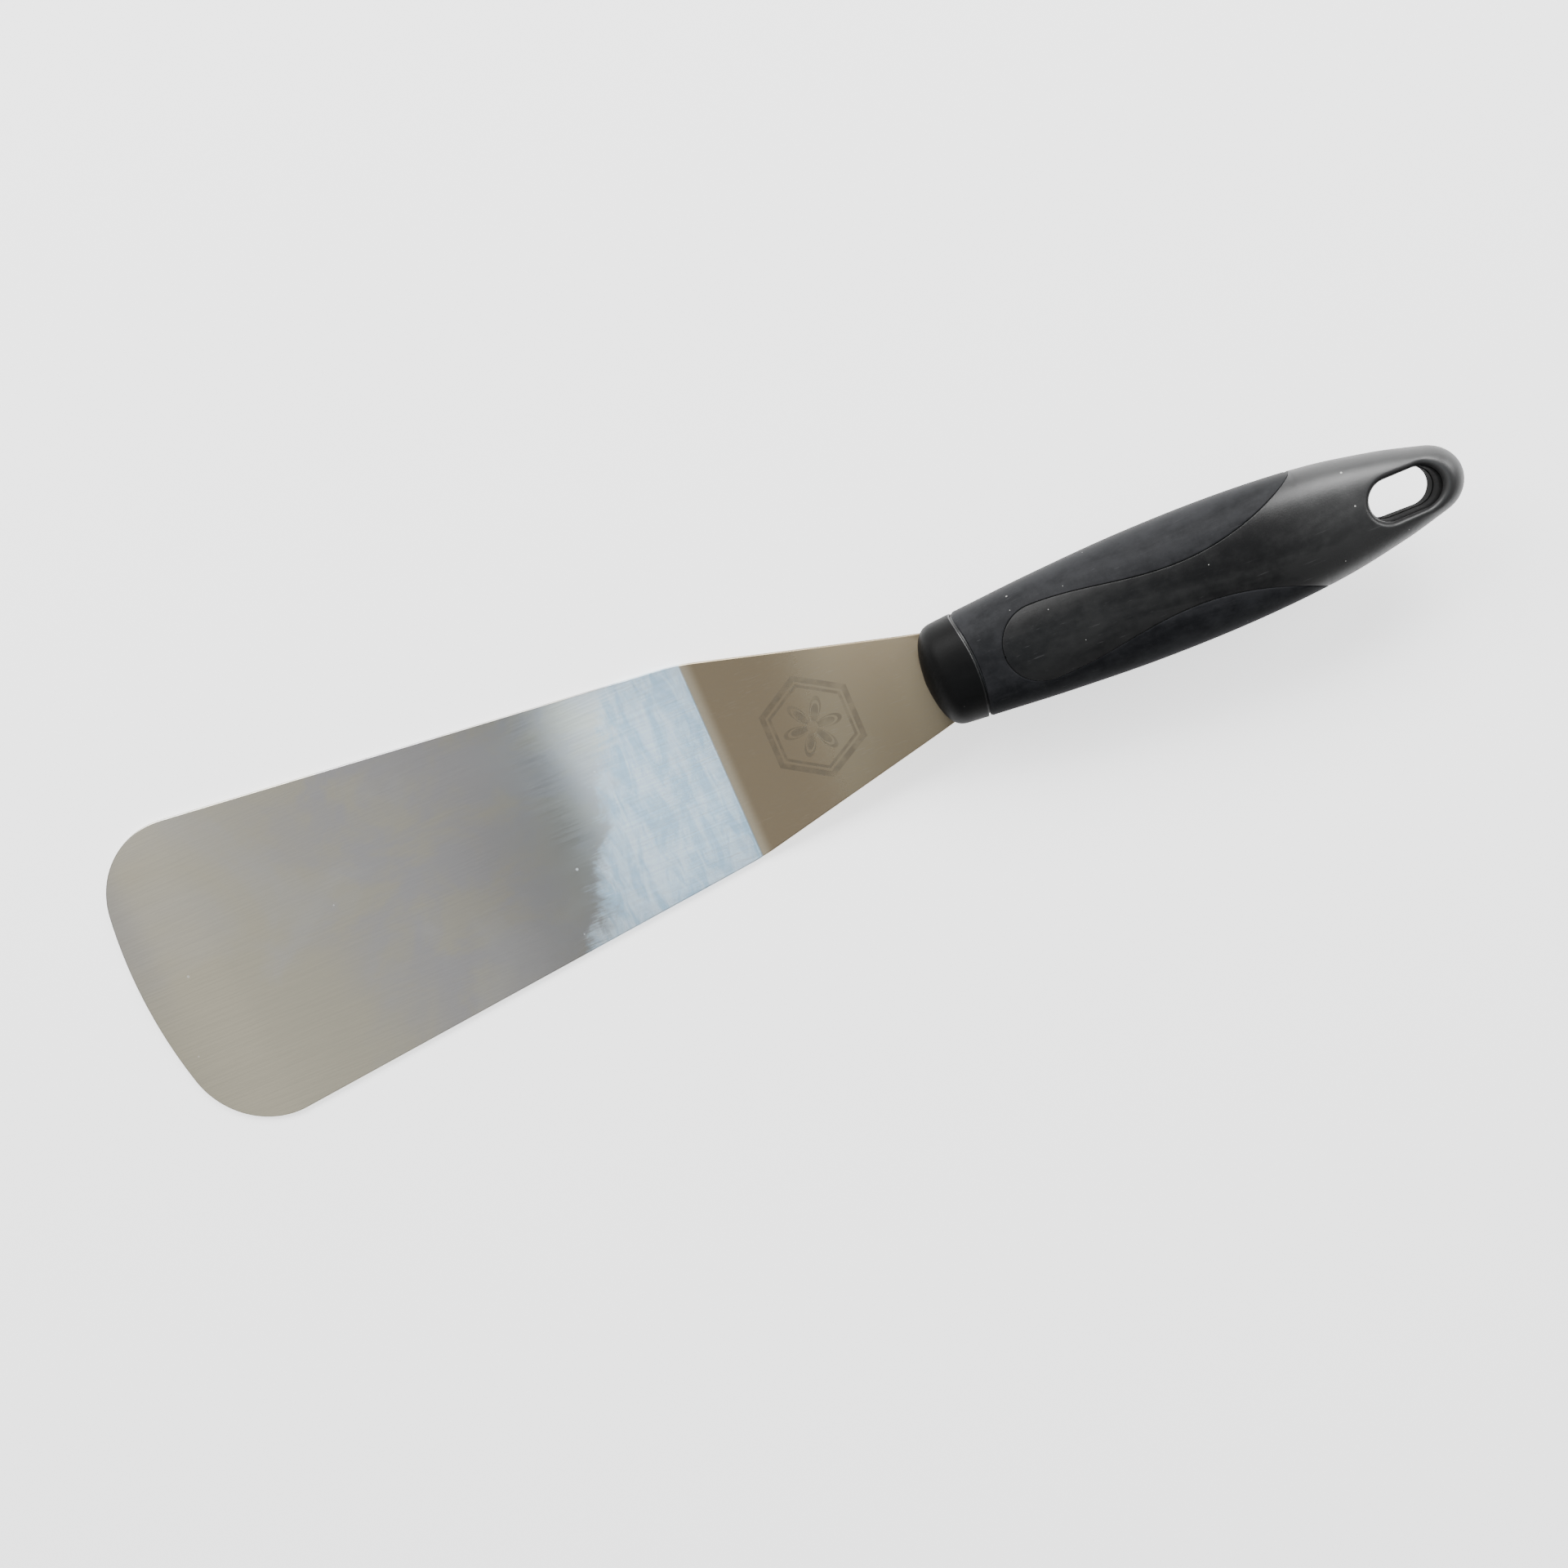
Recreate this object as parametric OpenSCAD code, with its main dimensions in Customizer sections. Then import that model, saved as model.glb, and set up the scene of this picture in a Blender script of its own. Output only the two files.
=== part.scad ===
// Cranked palette knife: one stainless sheet, pressed and bent, in an overmoulded two-component handle.
// Origin at the centre of the blade's flat underside. +X to the handle, +Y across, +Z up. Millimetres.

/* [Blade] */
// Length of the flat working blade, from its front edge to the crank
blade_len = 155; // [130:1:180]
// Width of the blade at its front, where the straight sides would meet the front edge
tip_w = 85; // [75:1:95]
// Width of the blade at the crank
crank_w = 50; // [44:1:56]
// Radius of the two front corners
corner_r = 21; // [12:1:26]
// How far the middle of the front edge stands out
front_bow = 8; // [4:0.5:12]
// Thickness of the stainless sheet
sheet_t = 1; // [0.8:0.1:1.2]

/* [Neck] */
// Length of the sloping neck, from the crank to the second, gentle bend
neck_len = 49; // [40:1:60]
// Length of the sheet that shows between the second bend and the handle
neck_lead = 3.5; // [3.5:0.5:8]
// Width of the sheet where it enters the handle
neck_end_w = 21; // [18:0.5:22]
// Slope of the neck against the blade, in degrees
neck_angle = 11.5; // [8:0.5:20]
// Radius of the crank, at the underside of the sheet
crank_r = 3; // [1.5:0.5:6]
// Radius of the gentle second bend
settle_r = 60; // [30:5:80]

/* [Tang] */
// Length of the tang inside the handle
tang_len = 72; // [50:1:80]
// Width of the tang inside the handle
tang_w = 13; // [10:0.5:14]
// Diameter of the two holes that lock the tang in the core
tang_hole_d = 5; // [3:0.5:6]

/* [Handle] */
// Length of the handle
handle_len = 120; // [112:0.5:130]
// Greatest width of the handle
handle_w = 29; // [27:0.5:32]
// Greatest thickness of the handle
handle_t = 21.5; // [20:0.5:24]
// Slope of the handle against the blade, in degrees
handle_angle = 5.7; // [2:0.1:8]
// Radius of the rear end, seen from above
end_r = 7.4; // [7:0.1:9]
// Length of the domed front face
nose_len = 6; // [4:0.5:8]
// Length of the front collar, up to its groove
collar_len = 11.5; // [9:0.5:13]

/* [Soft grip] */
// Thickness of the soft skin over the hard core
skin_t = 2.4; // [1.5:0.1:3]
// Half width of the bulb at the front of the hard tongue
bulb_r = 8.6; // [7:0.1:9.5]
// Distance from the handle's front to the tongue's tip
tongue_tip = 18.7; // [16:0.1:21]
// Half width of the tongue at its waist
waist_half_w = 5; // [4:0.1:6]
// Distance from the handle's front to the waist
waist_at = 59.5; // [54:0.5:64]
// Distance from the handle's front to where the soft grip ends
grip_end = 88.5; // [84:0.5:92]

/* [Hang slot] */
// Length of the hang slot
slot_len = 14.6; // [12:0.1:17]
// Width of the hang slot
slot_w = 8.6; // [7:0.1:9]
// Wall between the slot and the rear end
slot_wall = 5.9; // [4:0.1:7]

/* [Hidden] */
$fn = 96;

eps = 0.01;              // thickness of a slice that a hull spans
fit_gap = 0.05;          // play round the tang in its pocket
groove_w = 0.5;          // groove between the collar and the grip
groove_deep = 1.0;
slice_points = 44;       // points round one slice of the handle
squareness = 2.5;        // exponent of the superellipse that a slice follows
crank_x = blade_len / 2; // where the blade's plane meets the neck's

// Second bend and handle front, in the XZ plane, on the underside of the sheet
settle_at = [crank_x + neck_len * cos(neck_angle), neck_len * sin(neck_angle)];
handle_dir = [cos(handle_angle), sin(handle_angle)];
front_at = settle_at + neck_lead * handle_dir;

// Handle outline along its length: [place, half width, half thickness], as shares of the three sizes
handle_keys = [
    [0.000, 0.79, 0.92],
    [0.110, 0.86, 0.96],
    [0.245, 0.94, 0.99],
    [0.420, 1.00, 1.00],
    [0.600, 0.98, 0.95],
    [0.757, 0.87, 0.84],
    [0.875, 0.68, 0.74],
    [0.935, 0.542, 0.69],
    [1.000, 0.373, 0.64]];

// ---- smooth curve through handle_keys ----
function slope(c, i) =
    let (a = max(i - 1, 0), b = min(i + 1, len(handle_keys) - 1))
    (handle_keys[b][c] - handle_keys[a][c]) / (handle_keys[b][0] - handle_keys[a][0]);
function span_of(u, i = 0) = i >= len(handle_keys) - 2 || u < handle_keys[i + 1][0] ? i : span_of(u, i + 1);
function hermite(p0, p1, m0, m1, t) =
    p0 * (2 * t^3 - 3 * t^2 + 1) + m0 * (t^3 - 2 * t^2 + t) + p1 * (3 * t^2 - 2 * t^3) + m1 * (t^3 - t^2);
function along(u, c) =
    let (i = span_of(u), d = handle_keys[i + 1][0] - handle_keys[i][0])
    hermite(handle_keys[i][c], handle_keys[i + 1][c], slope(c, i) * d, slope(c, i + 1) * d,
        (u - handle_keys[i][0]) / d);

// ---- half width and half thickness at distance s from the handle's front ----
end_c = handle_len - end_r;
end_meet = end_c + 0.3 * end_r;  // where the side runs into the round end
function ahead(s) = max(0, 1 - s / nose_len);
function nose(s) = sqrt(1 - 0.92 * ahead(s)^2);
function cheek(s) = sqrt(1 - ahead(s)^3);
function half_w(s) = s > end_meet
    ? sqrt(max(0.01, end_r^2 - (s - end_c)^2))
    : handle_w / 2 * along(s / handle_len, 1) * cheek(s);
function half_t(s) = handle_t / 2 * along(min(s, end_c) / handle_len, 2) * nose(s);

// How far a point is from the middle of the handle to its outline, from 0 to 1. The rear end is a round cap.
function into_end(s) = max(0, min(0.999, (s - end_c) / end_r));
function share_out(s, y) = sqrt((y / half_w(s))^2 * (1 - into_end(s)^2) + into_end(s)^2);
function height_at(s, y) = half_t(s) * max(0, 1 - min(1, share_out(s, y))^squareness)^(1 / squareness);

body_steps = 24;
end_steps = 7;
nose_steps = 6;
nose_flat = 0.15;                // the dome starts with a small flat
nose_places = [for (i = [0:nose_steps]) nose_flat + (nose_len - nose_flat) * (1 - cos(90 * i / nose_steps))];
body_places = [for (i = [1:body_steps]) nose_len + (end_c - nose_len) * i / body_steps];
end_places = [for (i = [1:end_steps]) end_c + end_r * sin(90 * i / end_steps)];
handle_places = concat(nose_places, body_places, end_places);

// Tongue outline: a round bulb, then a waist that flares to the full width where the grip ends
bulb_at = tongue_tip + bulb_r;
flare_half_w = 13.5;
function tongue_half_w(s) = s < waist_at
    ? waist_half_w + (bulb_r - waist_half_w) * (1 + cos(180 * (s - bulb_at) / (waist_at - bulb_at))) / 2
    : waist_half_w + (flare_half_w - waist_half_w) * ((s - waist_at) / (grip_end - waist_at))^2;

// ---- sheet: a path on its underside, thickened along its normals, then cut to its outline ----
function turn(at, from, to, r, n) =
    let (l = r * tan(abs(to - from) / 2), side = sign(to - from))
    let (start = at - l * [cos(from), sin(from)], c = start + side * r * [-sin(from), cos(from)])
    [for (i = [0:n]) let (a = from + (to - from) * i / n) [c + side * r * [sin(a), -cos(a)], a]];
sheet_path = concat(
    [[[-blade_len / 2 - 1, 0], 0]],
    turn([crank_x, 0], 0, neck_angle, crank_r, 6),
    turn(settle_at, neck_angle, handle_angle, settle_r, 4),
    [[front_at + (tang_len + 1) * handle_dir, handle_angle]]);

module sheet_profile(gap) {
    under = [for (p = sheet_path) p[0] - gap * [-sin(p[1]), cos(p[1])]];
    over = [for (p = sheet_path) p[0] + (sheet_t + gap) * [-sin(p[1]), cos(p[1])]];
    polygon(concat(under, [for (i = [len(over) - 1:-1:0]) over[i]]));
}

// Front edge: a wide arc, with a corner arc tangent to it and to each straight side
front_r = ((tip_w / 2)^2 + front_bow^2) / (2 * front_bow);
front_c = [-blade_len / 2 + front_r, 0];
side_lean = atan((tip_w - crank_w) / 2 / blade_len);
side_dir = [-cos(side_lean), sin(side_lean)];
side_in = [-sin(side_lean), -cos(side_lean)];
corner_from = [crank_x, crank_w / 2] + corner_r * side_in;
corner_b = (corner_from - front_c) * side_dir;
corner_reach = -corner_b
    + sqrt(corner_b^2 - (corner_from - front_c) * (corner_from - front_c) + (front_r - corner_r)^2);
corner_c = corner_from + corner_reach * side_dir;
corner_end = atan2(corner_c[1], corner_c[0] - front_c[0]);

function arc(c, r, from, to, n) =
    [for (i = [0:n]) let (a = from + (to - from) * i / n) c + r * [cos(a), sin(a)]];

// Outline of the whole sheet, seen from above: the far half, then the near half mirrored
shoulder_x = front_at[0] + 4;
tang_end = front_at[0] + tang_len * cos(handle_angle);
module sheet_plan(gap) {
    tang_r = tang_w / 2 + gap;
    far = concat(
        arc(front_c, front_r, 180, corner_end, 20),
        arc(corner_c, corner_r, corner_end, 90 - side_lean, 20),
        [[crank_x, crank_w / 2], [shoulder_x, neck_end_w / 2 + gap], [shoulder_x, tang_r]],
        arc([tang_end - tang_w / 2, 0], tang_r, 90, 0, 12));
    polygon(concat(far, [for (i = [len(far) - 2:-1:1]) [far[i][0], -far[i][1]]]));
}

module sheet(gap = 0) {
    difference() {
        intersection() {
            rotate([90, 0, 0]) linear_extrude(2 * tip_w, center = true) sheet_profile(gap);
            upright(60) sheet_plan(gap);
        }
        for (share = [0.35, 0.75])
            on_handle() translate([tang_len * share, 0, 0])
                cylinder(d = tang_hole_d - 2 * gap, h = 4 * sheet_t, center = true);
    }
}

module upright(plan_h) {
    translate([0, 0, -plan_h / 4]) linear_extrude(plan_h) children();
}

module blade() {
    color("silver") sheet();
}

// ---- handle: everything is drawn along +X from the front face, then laid on the sheet ----
module on_handle() {
    translate([front_at[0], 0, front_at[1]])
        rotate([0, -handle_angle, 0])
            translate([0, 0, sheet_t / 2])
                children();
}

// Cross-section at distance s, sunk by inset all round
module slice(s, inset) {
    shrink = 1 - inset / half_t(s);
    rotate([90, 0, 90]) linear_extrude(eps) polygon([
        for (i = [0:slice_points - 1])
            let (a = 360 * (i + 0.5) / slice_points)
            let (y = half_w(s) * sign(cos(a)) * abs(cos(a))^(2 / squareness))
            [y * (1 - inset / half_w(s)), sign(sin(a)) * height_at(s, y) * shrink]]);
}

// The handle's body between two places, sunk by inset all round
module loft(places, inset = 0) {
    for (i = [0:len(places) - 2]) hull() {
        for (s = [places[i], places[i + 1]])
            translate([s, 0, 0]) slice(s, inset);
    }
}

// A slab of the handle's length, used to cut the body into its pieces
module stretch(from, to) {
    translate([from, -handle_w, -handle_t]) cube([to - from, 2 * handle_w, 2 * handle_t]);
}

module tongue_plan() {
    steps = 30;
    places = [for (i = [0:steps]) bulb_at + (grip_end - bulb_at) * i / steps];
    far = [for (s = places) [s, tongue_half_w(s)]];
    near = [for (i = [steps:-1:0]) [places[i], -tongue_half_w(places[i])]];
    translate([bulb_at, 0]) circle(r = bulb_r, $fn = 48);
    polygon(concat(far, [[grip_end, flare_half_w * 2], [handle_len + 1, flare_half_w * 2]],
        [[handle_len + 1, -flare_half_w * 2], [grip_end, -flare_half_w * 2]], near));
}

// Where the hard core reaches the surface: the tongues above and below, and the rear end
module hard_region() {
    upright(4 * handle_t) tongue_plan();
}

module hang_slot() {
    rear_c = handle_len - slot_wall - slot_w / 2;
    front_c = rear_c - slot_len + slot_w;
    translate([0, 0, -handle_t]) linear_extrude(2 * handle_t) hull() {
        translate([rear_c, 0]) circle(d = slot_w, $fn = 48);
        translate([front_c, 0]) circle(d = slot_w, $fn = 48);
    }
}

// Spine of the core under the soft skin
module spine() {
    places = [for (s = handle_places) if (s > collar_len && s < grip_end + 4) s];
    loft(concat([collar_len], places), skin_t);
}

module front_collar() {
    color([0.05, 0.05, 0.055]) difference() {
        on_handle() loft(concat([for (s = handle_places) if (s < collar_len) s], [collar_len]));
        sheet(fit_gap);
    }
}

module handle_core() {
    color([0.10, 0.10, 0.105]) difference() {
        on_handle() difference() {
            union() {
                intersection() {
                    loft(handle_places);
                    hard_region();
                }
                spine();
            }
            hang_slot();
        }
        sheet(fit_gap);
    }
}

module soft_grip() {
    color([0.17, 0.175, 0.185]) on_handle() difference() {
        intersection() {
            loft(handle_places);
            stretch(collar_len, grip_end);
        }
        hard_region();
        spine();
        difference() {
            stretch(collar_len - 1, collar_len + groove_w);
            loft([collar_len - 2, collar_len + 2], groove_deep);
        }
    }
}

blade();
front_collar();
handle_core();
soft_grip();
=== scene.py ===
import math

import bmesh
import bpy
import numpy as np
from mathutils import Matrix, Vector


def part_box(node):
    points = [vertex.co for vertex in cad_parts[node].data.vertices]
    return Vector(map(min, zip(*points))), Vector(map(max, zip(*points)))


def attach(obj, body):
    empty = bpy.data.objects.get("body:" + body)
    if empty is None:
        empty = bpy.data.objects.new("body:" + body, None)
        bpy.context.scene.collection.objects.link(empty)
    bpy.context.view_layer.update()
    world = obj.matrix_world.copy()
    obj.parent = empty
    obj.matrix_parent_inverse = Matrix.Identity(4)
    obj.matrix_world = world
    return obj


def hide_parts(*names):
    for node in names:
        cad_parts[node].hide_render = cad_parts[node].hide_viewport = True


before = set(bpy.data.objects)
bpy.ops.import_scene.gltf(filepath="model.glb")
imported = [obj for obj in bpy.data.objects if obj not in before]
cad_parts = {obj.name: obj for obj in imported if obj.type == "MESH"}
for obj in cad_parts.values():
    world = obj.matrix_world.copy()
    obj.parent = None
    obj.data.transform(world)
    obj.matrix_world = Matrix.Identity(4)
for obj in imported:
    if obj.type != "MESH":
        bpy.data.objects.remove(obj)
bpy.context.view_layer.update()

# Looks of a cranked palette knife: one satin stainless sheet, in a handle of hard and soft plastic.
# Every CAD node is replaced by a detailed piece of the same size in the same place.
MM = 0.001

# ---- sizes, in millimetres, as the CAD model has them ----
blade_lo, blade_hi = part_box("blade")
core_lo, core_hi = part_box("handle_core")
BLADE_LEN = -2 * blade_lo.x / MM          # the origin is under the middle of the working blade
TIP_W, CRANK_W = 85.0, 50.0
CORNER_R, FRONT_BOW = 21.0, 8.0
SHEET_T = 1.0
SHEET_EDGE_R = 0.32
CRANK_CORNER_R = 50.0                     # rounds the outline where the blade runs into the neck
CUT_EVERY, BEND_CUTS = 10.0, 13           # cuts across the blade, and in each bend

NECK_LEN, NECK_LEAD, NECK_END_W = 49.0, 3.5, 21.0
NECK_ANGLE, HANDLE_ANGLE = math.radians(11.5), math.radians(5.7)
CRANK_R, SETTLE_R = 3.0, 60.0
TANG_LEN, TANG_W = 72.0, 13.0

HANDLE_LEN, HANDLE_W, HANDLE_T = 120.0, 29.0, 21.5
END_R, NOSE_LEN = 7.4, 6.0
SQUARENESS = 2.5
HANDLE_KEYS = np.array([                  # place, half width, half thickness, as shares of the sizes
    (0.000, 0.79, 0.92), (0.110, 0.86, 0.96), (0.245, 0.94, 0.99), (0.420, 1.00, 1.00), (0.600, 0.98, 0.95),
    (0.757, 0.87, 0.84), (0.875, 0.68, 0.74), (0.935, 0.542, 0.69), (1.000, 0.373, 0.64)])

BULB_R, TONGUE_TIP = 8.6, 18.7
WAIST_HALF_W, WAIST_AT = 5.0, 59.5
FLARE_HALF_W, GRIP_END = 13.5, 88.5
BULB_AT = TONGUE_TIP + BULB_R
SKIN_T = 2.4

SLOT_LEN, SLOT_W, SLOT_WALL = 14.6, 8.6, 5.9
RIM_W, RIM_DEEP = 1.5, 3.2                # rounded rim of the slot: its width in plan, and its depth
RIM_MORE = 1.1                            # how much wider the rim is at the slot's rear
LEDGE = 0.16                              # ledge in the slot, where the two halves of the mould met
BLOCK_LEAD = 3.5                          # the mesh changes its layout this far ahead of the slot

GROOVE_SIDE, GROOVE_BULGE = 10.5, 2.1     # groove behind the collar: at the sides, and how far it bows on top
GROOVE_W, GROOVE_DEEP = 0.32, 0.7
SEAM_R = 0.3                              # rounded edge of each piece at a seam
SEAM_FADE = 1.5                           # the tongue's rounded edge fades out over this length at its end

CRANK_X = BLADE_LEN / 2
SETTLE_AT = np.array([CRANK_X + NECK_LEN * math.cos(NECK_ANGLE), NECK_LEN * math.sin(NECK_ANGLE)])
HANDLE_DIR = np.array([math.cos(HANDLE_ANGLE), math.sin(HANDLE_ANGLE)])
HANDLE_UP = np.array([-HANDLE_DIR[1], HANDLE_DIR[0]])
FRONT_AT = SETTLE_AT + NECK_LEAD * HANDLE_DIR
HANDLE_AT = FRONT_AT + SHEET_T / 2 * HANDLE_UP


# ---- meshes ----
def new_piece(name, bm, node, sharp_from=40):
    """Makes an object of a bmesh in millimetres, which stands for a CAD node."""
    bmesh.ops.scale(bm, vec=(MM, MM, MM), verts=bm.verts)
    mesh = bpy.data.meshes.new(name)
    bm.to_mesh(mesh)
    bm.free()
    mesh.shade_smooth()
    mesh.set_sharp_from_angle(angle=math.radians(sharp_from))
    piece = bpy.data.objects.new(name, mesh)
    bpy.context.scene.collection.objects.link(piece)
    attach(piece, "root")
    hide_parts(node)
    return piece


def arc(centre, radius, start, end, count):
    angles = np.radians(np.linspace(start, end, count))
    return [(centre[0] + radius * math.cos(a), centre[1] + radius * math.sin(a)) for a in angles]


def fillet(before, corner, after, radius, count):
    """Points that round a corner of an outline."""
    b, c, a = map(np.array, (before, corner, after))
    to_b, to_a = (b - c) / np.linalg.norm(b - c), (a - c) / np.linalg.norm(a - c)
    half = math.acos(np.clip(to_b @ to_a, -1, 1)) / 2
    middle = (to_b + to_a) / np.linalg.norm(to_b + to_a)
    centre = c + middle * radius / math.sin(half)
    cut = radius / math.tan(half)
    start, end = c + to_b * cut - centre, c + to_a * cut - centre
    a0, a1 = math.atan2(start[1], start[0]), math.atan2(end[1], end[0])
    a1 += 2 * math.pi * round((a0 - a1) / (2 * math.pi))
    return [tuple(centre + radius * np.array([math.cos(t), math.sin(t)])) for t in np.linspace(a0, a1, count)]


# ---- the sheet: drawn flat, then bent ----
def bend_runs():
    """Straight and curved runs of the sheet's underside: (length, turn in radians)."""
    crank_cut = CRANK_R * math.tan(NECK_ANGLE / 2)
    settle_turn = NECK_ANGLE - HANDLE_ANGLE
    settle_cut = SETTLE_R * math.tan(settle_turn / 2)
    return [
        (BLADE_LEN - crank_cut, 0.0),
        (CRANK_R * NECK_ANGLE, NECK_ANGLE),
        (NECK_LEN - crank_cut - settle_cut, 0.0),
        (SETTLE_R * settle_turn, -settle_turn),
        (NECK_LEAD - settle_cut + TANG_LEN + 2, 0.0)]


def bent(u, y, z):
    """Where a point of the flat sheet goes: u along it from the front edge, z above its underside."""
    x0, z0, angle = -BLADE_LEN / 2, 0.0, 0.0
    for length, turn in bend_runs():
        run = min(u, length)
        if turn:
            radius, part = length / turn, turn * run / length
            x0 += radius * (math.sin(angle + part) - math.sin(angle))
            z0 -= radius * (math.cos(angle + part) - math.cos(angle))
            angle += part
        else:
            x0 += run * math.cos(angle)
            z0 += run * math.sin(angle)
        u -= run
        if u <= 0:
            break
    return x0 - z * math.sin(angle), y, z0 + z * math.cos(angle)


def sheet_outline():
    """Far half of the sheet's outline in plan, from the middle of the front edge to the tang's end."""
    front_r = ((TIP_W / 2) ** 2 + FRONT_BOW ** 2) / (2 * FRONT_BOW)
    front_c = np.array([-BLADE_LEN / 2 + front_r, 0.0])
    lean = math.atan((TIP_W - CRANK_W) / 2 / BLADE_LEN)
    side_dir = np.array([-math.cos(lean), math.sin(lean)])
    inward = np.array([-math.sin(lean), -math.cos(lean)])
    start = np.array([CRANK_X, CRANK_W / 2]) + CORNER_R * inward
    b = (start - front_c) @ side_dir
    reach = -b + math.sqrt(b * b - (start - front_c) @ (start - front_c) + (front_r - CORNER_R) ** 2)
    corner_c = start + reach * side_dir
    corner_end = math.degrees(math.atan2(corner_c[1], corner_c[0] - front_c[0]))
    shoulder_x = FRONT_AT[0] + 4
    tang_end = FRONT_AT[0] + TANG_LEN * HANDLE_DIR[0]
    bow = arc(front_c, front_r, 180, corner_end, 40)
    corner = arc(corner_c, CORNER_R, corner_end, 90 - math.degrees(lean), 40)[1:]
    crank = fillet(corner[-1], (CRANK_X, CRANK_W / 2), (shoulder_x, NECK_END_W / 2), CRANK_CORNER_R, 9)
    tang = [(shoulder_x, NECK_END_W / 2), (shoulder_x, TANG_W / 2)]
    tang += arc((tang_end - TANG_W / 2, 0), TANG_W / 2, 90, 0, 14)
    return bow + corner + crank + tang


def make_blade():
    # Flat places (u) of the plan's places (x)
    total = sum(length for length, _ in bend_runs())
    us = np.linspace(0, total, 4000)
    xs = np.array([bent(u, 0, 0)[0] for u in us])
    far = [(float(np.interp(x, xs, us)), y) for x, y in sheet_outline()]
    loop = np.array(far + [(u, -y) for u, y in far[-2:0:-1]])
    tangent = np.roll(loop, -1, axis=0) - np.roll(loop, 1, axis=0)
    tangent /= np.linalg.norm(tangent, axis=1)[:, None]
    inward = np.c_[tangent[:, 1], -tangent[:, 0]]
    # Edge profile from the underside's rim, round the edge, to the upper side's rim
    r = SHEET_EDGE_R
    turn = np.radians(np.linspace(0, 90, 5))
    profile = [(r * (1 - math.sin(a)), r * (1 - math.cos(a))) for a in turn]
    profile += [(d, SHEET_T - h) for d, h in reversed(profile)]
    bm = bmesh.new()
    rings = [[bm.verts.new((*(p + n * d), h)) for p, n in zip(loop, inward)] for d, h in profile]
    count = len(loop)
    for low, high in zip(rings, rings[1:]):
        for i in range(count):
            j = (i + 1) % count
            bm.faces.new((low[i], low[j], high[j], high[i]))
    bm.faces.new(reversed(rings[0]))
    bm.faces.new(rings[-1])
    # Cuts across the sheet, close together in each bend, so that it can turn there
    cuts, at = list(np.arange(CUT_EVERY, BLADE_LEN - CRANK_R, CUT_EVERY)), 0.0
    for length, turned in bend_runs():
        if turned:
            cuts += list(np.linspace(at, at + length, BEND_CUTS))
        at += length
    for u in cuts:
        everything = bm.verts[:] + bm.edges[:] + bm.faces[:]
        bmesh.ops.bisect_plane(bm, geom=everything, plane_co=(u, 0, 0), plane_no=(1, 0, 0), dist=1e-4)
    for v in bm.verts:
        v.co = bent(*v.co)
    bmesh.ops.recalc_face_normals(bm, faces=bm.faces)
    return new_piece("turner_blade", bm, "blade", 50)


# ---- the handle's skin: s along it from its front, y across, z up, in its own frame ----
def along(s, column):
    """Smooth curve through one column of HANDLE_KEYS."""
    keys, u = HANDLE_KEYS, np.clip(np.asarray(s, float) / HANDLE_LEN, 0, 1)
    last = len(keys) - 1
    slope = np.array([
        (keys[min(i + 1, last), column] - keys[max(i - 1, 0), column])
        / (keys[min(i + 1, last), 0] - keys[max(i - 1, 0), 0]) for i in range(last + 1)])
    i = np.clip(np.searchsorted(keys[:, 0], u, side="right") - 1, 0, last - 1)
    d = keys[i + 1, 0] - keys[i, 0]
    t = (u - keys[i, 0]) / d
    return (keys[i, column] * (2 * t ** 3 - 3 * t ** 2 + 1) + slope[i] * d * (t ** 3 - 2 * t ** 2 + t)
            + keys[i + 1, column] * (3 * t ** 2 - 2 * t ** 3) + slope[i + 1] * d * (t ** 3 - t ** 2))


END_C = HANDLE_LEN - END_R
END_MEET = END_C + 0.3 * END_R


def half_w(s):
    s = np.asarray(s, float)
    ahead = np.clip(1 - s / NOSE_LEN, 0, 1)
    side = HANDLE_W / 2 * along(s, 1) * np.sqrt(1 - ahead ** 3)
    end = np.sqrt(np.maximum(1e-8, END_R ** 2 - (s - END_C) ** 2))
    return np.where(s > END_MEET, end, side)


def half_t(s):
    s = np.asarray(s, float)
    ahead = np.clip(1 - s / NOSE_LEN, 0, 1)
    return HANDLE_T / 2 * along(np.minimum(s, END_C), 2) * np.sqrt(1 - 0.92 * ahead ** 2)


def share_out(s, y):
    into_end = np.clip((np.asarray(s, float) - END_C) / END_R, 0, 1)
    return np.sqrt((y / half_w(s)) ** 2 * (1 - into_end ** 2) + into_end ** 2)


def height(s, y):
    inside = np.maximum(0, 1 - np.minimum(1, share_out(s, y)) ** SQUARENESS)
    return half_t(s) * inside ** (1 / SQUARENESS)


def over(s, y):
    """Points of the upper skin above places in plan."""
    s, y = np.broadcast_arrays(np.asarray(s, float), np.asarray(y, float))
    return np.stack([s, y, height(s, y)], axis=-1)


def round_side(s, turn):
    """Points of the upper, far skin: turn is 0 at the side and a right angle on top."""
    s, turn = np.broadcast_arrays(np.asarray(s, float), np.asarray(turn, float))
    return over(s, half_w(s) * np.cos(turn) ** (2 / SQUARENESS))


def turn_at(s, y):
    return np.arccos(np.clip(np.asarray(y, float) / half_w(s), 0, 1) ** (SQUARENESS / 2))


def level(p):
    s, y, z = p[..., 0], np.abs(p[..., 1]), np.abs(p[..., 2])
    return share_out(s, y) ** SQUARENESS + (z / half_t(s)) ** SQUARENESS


def outward(p):
    """The skin's normals."""
    step, parts = 0.01, []
    for axis in range(3):
        d = np.zeros(3)
        d[axis] = step
        parts.append(level(p + d) - level(p - d))
    n = np.stack(parts, axis=-1)
    n[..., 1] = np.where(np.abs(p[..., 1]) < 1e-6, 0, n[..., 1])
    return n / np.maximum(np.linalg.norm(n, axis=-1, keepdims=True), 1e-12)


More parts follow.
